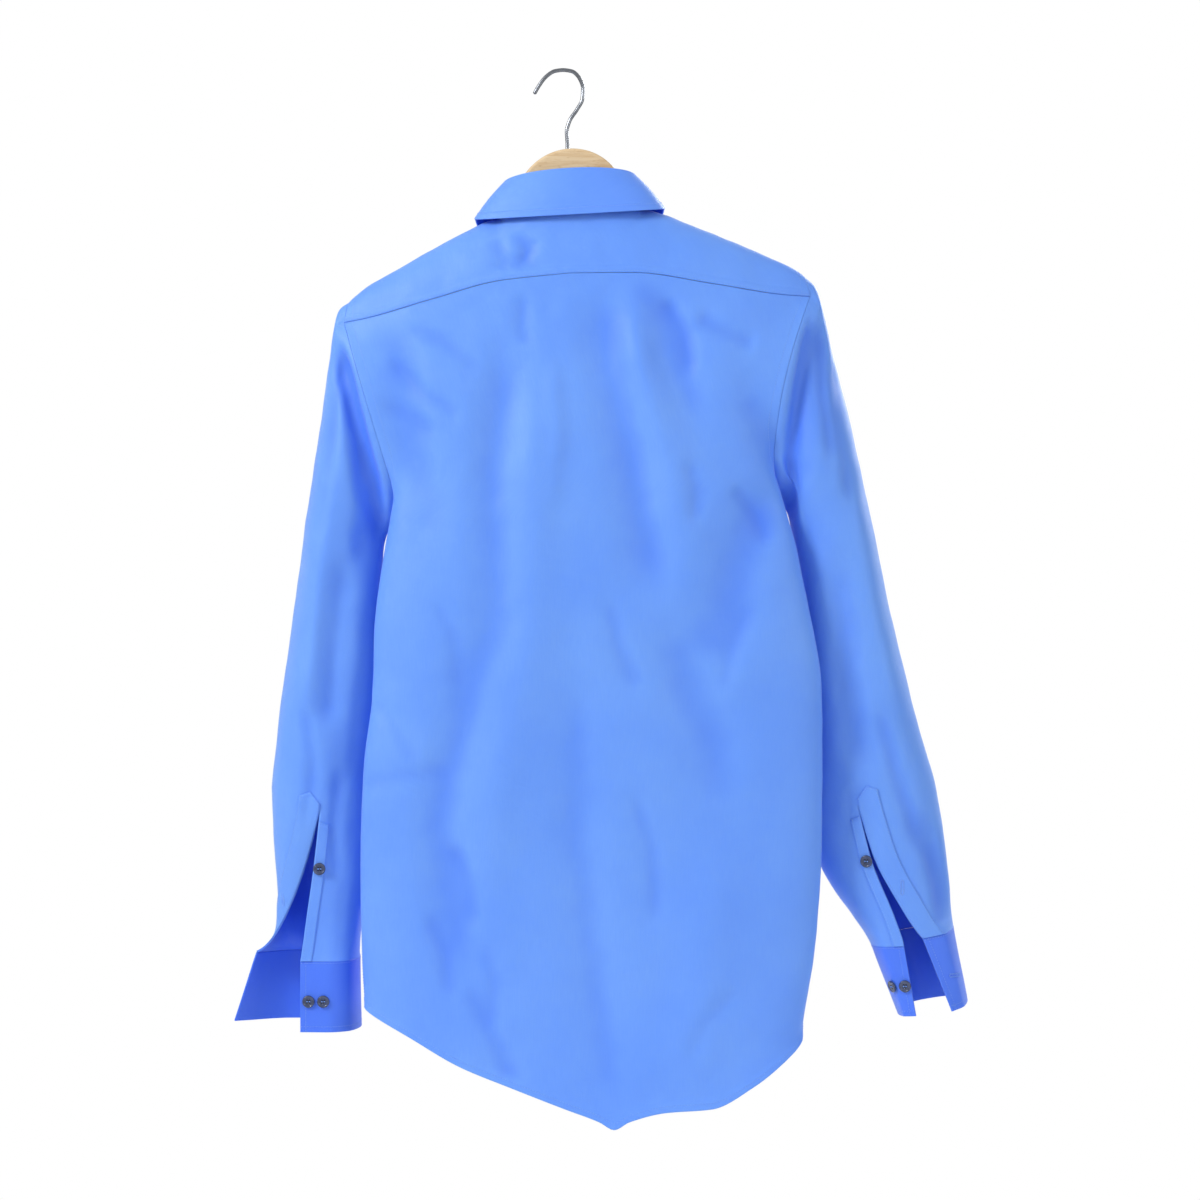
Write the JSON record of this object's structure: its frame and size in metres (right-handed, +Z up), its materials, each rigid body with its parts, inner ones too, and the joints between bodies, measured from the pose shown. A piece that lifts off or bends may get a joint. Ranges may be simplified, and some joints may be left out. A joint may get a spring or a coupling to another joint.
{
  "type": "long sleeve dress shirt on a wooden hanger",
  "caption": "Long sleeve dress shirt, buttoned down the front, with open cuffs and a curved tail, hanging on a flat wooden hanger with a wire hook.",
  "frame": {"origin": "underside of the hanger hook's bend, where a rail carries it", "axes": "+Z up; +X towards the shirt's own left sleeve; +Y out of the shirt's back, so the wearer faces -Y"},
  "size_m": [0.675, 0.1427, 0.9493],
  "materials": {
    "cloth": "matt woven cotton poplin",
    "dense_cloth": "matt woven cotton poplin over interlining",
    "button": "smoky polished resin",
    "wood": "pale satin lacquered wood",
    "steel": "dark polished steel wire"
  },
  "bodies": {
    "root": {"back": "cloth", "front_left": "cloth", "front_right": "cloth", "yoke": "cloth", "sleeve_left": "cloth", "sleeve_right": "cloth", "cuff_left": "dense_cloth", "cuff_right": "dense_cloth", "collar_stand": "cloth", "collar_leaf": "cloth", "front_placket": "cloth", "placket_left_upper": "cloth", "placket_left_under": "cloth", "placket_right_upper": "cloth", "placket_right_under": "cloth", "front_button_1": "button", "front_button_2": "button", "front_button_3": "button", "front_button_4": "button", "front_button_5": "button", "front_button_6": "button", "collar_button": "button", "sleeve_button_left": "button", "cuff_button_left_1": "button", "cuff_button_left_2": "button", "sleeve_button_right": "button", "cuff_button_right_1": "button", "cuff_button_right_2": "button", "hanger_bar": "wood", "hanger_hook": "steel"}
  },
  "joints": []
}
